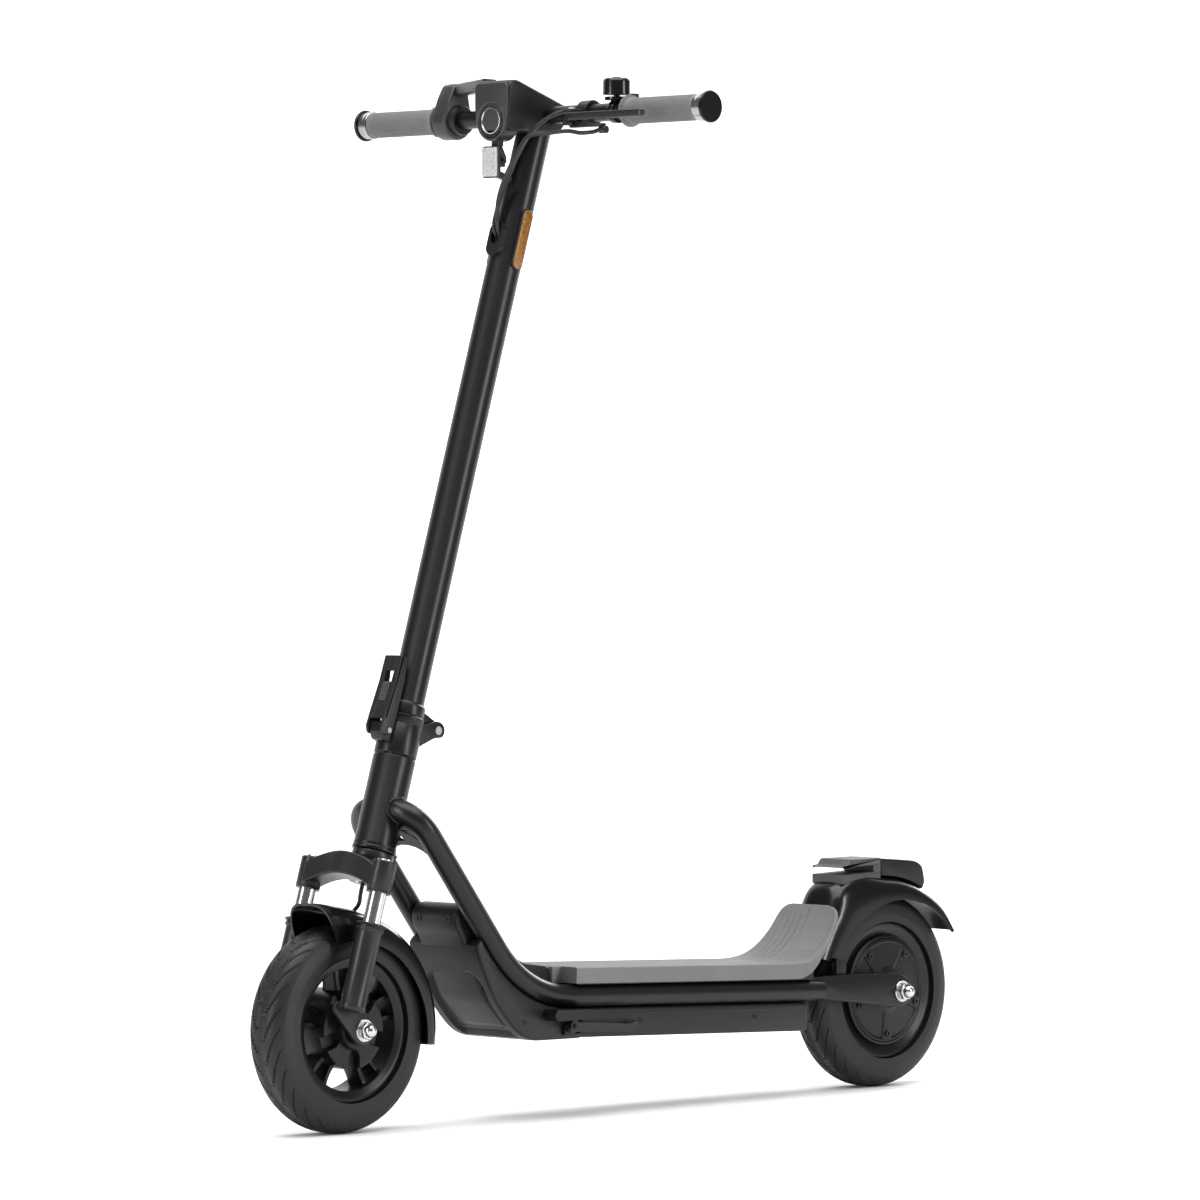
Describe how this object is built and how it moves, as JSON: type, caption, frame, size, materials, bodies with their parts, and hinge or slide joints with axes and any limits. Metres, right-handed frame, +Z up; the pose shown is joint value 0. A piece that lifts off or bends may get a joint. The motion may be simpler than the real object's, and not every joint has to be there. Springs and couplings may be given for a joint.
{
  "type": "electric kick scooter",
  "caption": "Folding electric kick scooter with a twin-rail frame, sprung fork, hub motor, drum brake, mudguards, deck mat and side stand.",
  "frame": {"origin": "on the ground below the middle of the wheelbase, halfway across the deck", "axes": "+X forwards, +Y to the rider's left, +Z up"},
  "size_m": [1.19, 0.607, 1.274],
  "materials": {
    "frame_black": "satin black powder coat",
    "fork_grey": "satin grey paint",
    "steel": "plain steel",
    "chrome": "polished",
    "alloy": "machined",
    "black_plastic": "fine grain",
    "gloss_plastic": "glossy",
    "pod_plastic": "satin",
    "mat_rubber": "ribbed",
    "grip_rubber": "ribbed",
    "cord": "smooth",
    "tyre": "treaded",
    "battery": "shrink wrap",
    "copper": "wound copper",
    "magnet": "plated",
    "lens": "clear lens in a silver ring",
    "display": "smooth",
    "red_lens": "smooth",
    "reflector": "prismatic",
    "amber": "prismatic"
  },
  "bodies": {
    "frame": {"head_tube": "frame_black", "frame_gusset": "frame_black", "frame_rail_left": "frame_black", "frame_rail_right": "frame_black", "rear_arms": "frame_black", "deck_case": "black_plastic", "deck_plate": "steel", "deck_mat": "mat_rubber", "battery_pack": "battery", "controller": "alloy", "rear_fender": "gloss_plastic", "tail_box": "black_plastic", "tail_hook": "pod_plastic", "tail_light": "red_lens", "stand_bracket": "frame_black", "case_screws": "steel", "headset_bearings": "steel", "rear_axle": "chrome", "motor_stator": "copper"},
    "fork_upper": {"fork_crown": "fork_grey", "steerer_tube": "steel", "stanchions": "chrome", "stem_base": "frame_black", "fold_pin": "steel"},
    "fork_lower": {"fork_leg_left": "fork_grey", "fork_leg_right": "fork_grey", "front_axle": "chrome", "front_fender": "gloss_plastic", "brake_plate": "alloy", "brake_cable": "cord"},
    "brake_cam": {"brake_arm": "steel"},
    "front_wheel": {"front_rim": "frame_black", "front_tyre": "tyre", "front_bearings": "steel"},
    "rear_wheel": {"motor_shell": "frame_black", "motor_covers": "frame_black", "motor_magnets": "magnet", "rear_tyre": "tyre", "rear_bearings": "steel"},
    "stem": {"stem_tube": "frame_black", "handlebar": "frame_black", "grip_left": "grip_rubber", "grip_right": "grip_rubber", "grip_rings": "alloy", "pod_housing": "pod_plastic", "display_glass": "display", "headlight": "lens", "front_reflector": "reflector", "side_reflectors": "amber", "cable_port": "black_plastic", "throttle_housing": "pod_plastic", "brake_clamp": "fork_grey", "bar_cables": "cord", "bell": "gloss_plastic"},
    "latch": {"latch_lever": "fork_grey"},
    "slider": {"latch_slider": "pod_plastic"},
    "brake_grip": {"brake_lever": "fork_grey"},
    "thumb": {"throttle_lever": "black_plastic"},
    "bell_thumb": {"bell_lever": "black_plastic"},
    "stand": {"kickstand": "alloy"}
  },
  "joints": [
    {"name": "steering", "type": "hinge", "parent": "frame", "child": "fork_upper", "pos_m": [0.39505, 0, 0.38221], "axis": [-0.2949, 0, 0.9555], "range_deg": [-60, 60]},
    {"name": "suspension", "type": "slide", "parent": "fork_upper", "child": "fork_lower", "axis": [-0.2949, 0, 0.9555], "range_m": [0, 0.03], "stiffness_N_per_m": 8000, "springref_m": -0.02},
    {"name": "front_wheel_spin", "type": "hinge", "parent": "fork_lower", "child": "front_wheel", "pos_m": [0.47, 0, 0.125], "axis": [0, 1, 0], "continuous": true},
    {"name": "rear_wheel_spin", "type": "hinge", "parent": "frame", "child": "rear_wheel", "pos_m": [-0.47, 0, 0.125], "axis": [0, 1, 0], "continuous": true},
    {"name": "stem_fold", "type": "hinge", "parent": "fork_upper", "child": "stem", "pos_m": [0.31524, 0, 0.47804], "axis": [0, -1, 0], "range_deg": [0, 88]},
    {"name": "latch_turn", "type": "hinge", "parent": "fork_upper", "child": "latch", "pos_m": [0.3977, 0, 0.48046], "axis": [0, 1, 0], "range_deg": [0, 75]},
    {"name": "slider_lift", "type": "slide", "parent": "latch", "child": "slider", "axis": [-0.2949, 0, 0.9555], "range_m": [0, 0.012], "stiffness_N_per_m": 300, "springref_m": -0.004},
    {"name": "brake_pull", "type": "hinge", "parent": "stem", "child": "brake_grip", "pos_m": [0.16998, 0.096, 1.222], "axis": [0, 0, 1], "range_deg": [0, 9], "stiffness_Nm_per_rad": 2, "springref_deg": -5.73},
    {"name": "brake_cam_turn", "type": "hinge", "parent": "fork_lower", "child": "brake_cam", "pos_m": [0.4383, -0.044, 0.13615], "axis": [0, 1, 0], "range_deg": [0, 22.5], "stiffness_Nm_per_rad": 0.5, "springref_deg": -11.46},
    {"name": "throttle_push", "type": "hinge", "parent": "stem", "child": "thumb", "pos_m": [0.13998, -0.13, 1.228], "axis": [0, -1, 0], "range_deg": [0, 35], "stiffness_Nm_per_rad": 0.3, "springref_deg": -17.19},
    {"name": "bell_flick", "type": "hinge", "parent": "stem", "child": "bell_thumb", "pos_m": [0.11598, 0.144, 1.25], "axis": [0, 0, 1], "range_deg": [0, 25], "stiffness_Nm_per_rad": 0.1, "springref_deg": -17.19},
    {"name": "stand_swing", "type": "hinge", "parent": "frame", "child": "stand", "pos_m": [0.143, 0.071, 0.114], "axis": [0, -1, 0], "range_deg": [0, 95]}
  ],
  "couplings": [
    {"joint": "brake_cam_turn", "follows": "brake_pull", "ratio": 2.5}
  ]
}
